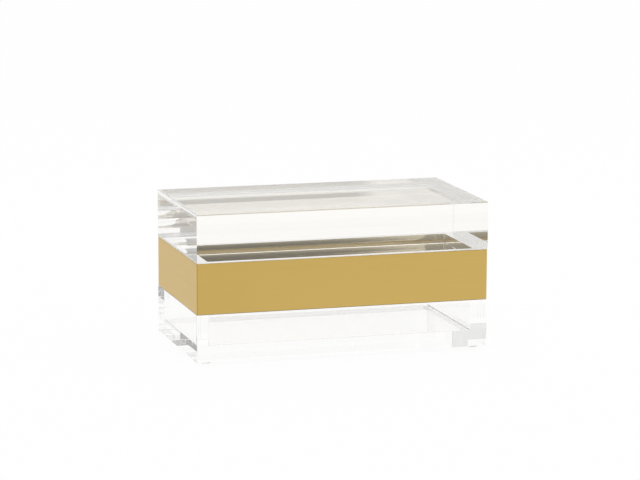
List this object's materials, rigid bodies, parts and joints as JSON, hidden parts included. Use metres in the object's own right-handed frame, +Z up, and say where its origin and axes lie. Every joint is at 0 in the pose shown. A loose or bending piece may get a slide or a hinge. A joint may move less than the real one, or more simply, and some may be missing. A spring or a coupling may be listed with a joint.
{
  "type": "keepsake box",
  "caption": "Rectangular keepsake box: clear acrylic tray, brushed gold band and lift-off solid clear acrylic lid, on clear bumpers.",
  "frame": {"origin": "under the middle of the box, on the surface that the four bumpers stand on", "axes": "+Z up, +X along the length to the right, -Y towards the front"},
  "size_m": [0.25, 0.133, 0.1248],
  "materials": {
    "clear_acrylic": "polished, clear",
    "brushed_gold": "brushed lengthwise, pale gold plating",
    "bare_steel": "bare sheet, dull shine",
    "bumper_plastic": "soft, clear"
  },
  "bodies": {
    "box": {"tray_floor": "clear_acrylic", "tray_front_wall": "clear_acrylic", "tray_back_wall": "clear_acrylic", "tray_left_wall": "clear_acrylic", "tray_right_wall": "clear_acrylic", "band_sleeve": "brushed_gold", "band_liner": "bare_steel", "bumper_front_left": "bumper_plastic", "bumper_front_right": "bumper_plastic", "bumper_back_left": "bumper_plastic", "bumper_back_right": "bumper_plastic"},
    "lid": {"lid_block": "clear_acrylic", "lid_plug": "clear_acrylic"}
  },
  "joints": [
    {"name": "lid_lift", "type": "slide", "parent": "box", "child": "lid", "axis": [0, 0, 1], "range_m": [0, 0.06]}
  ]
}
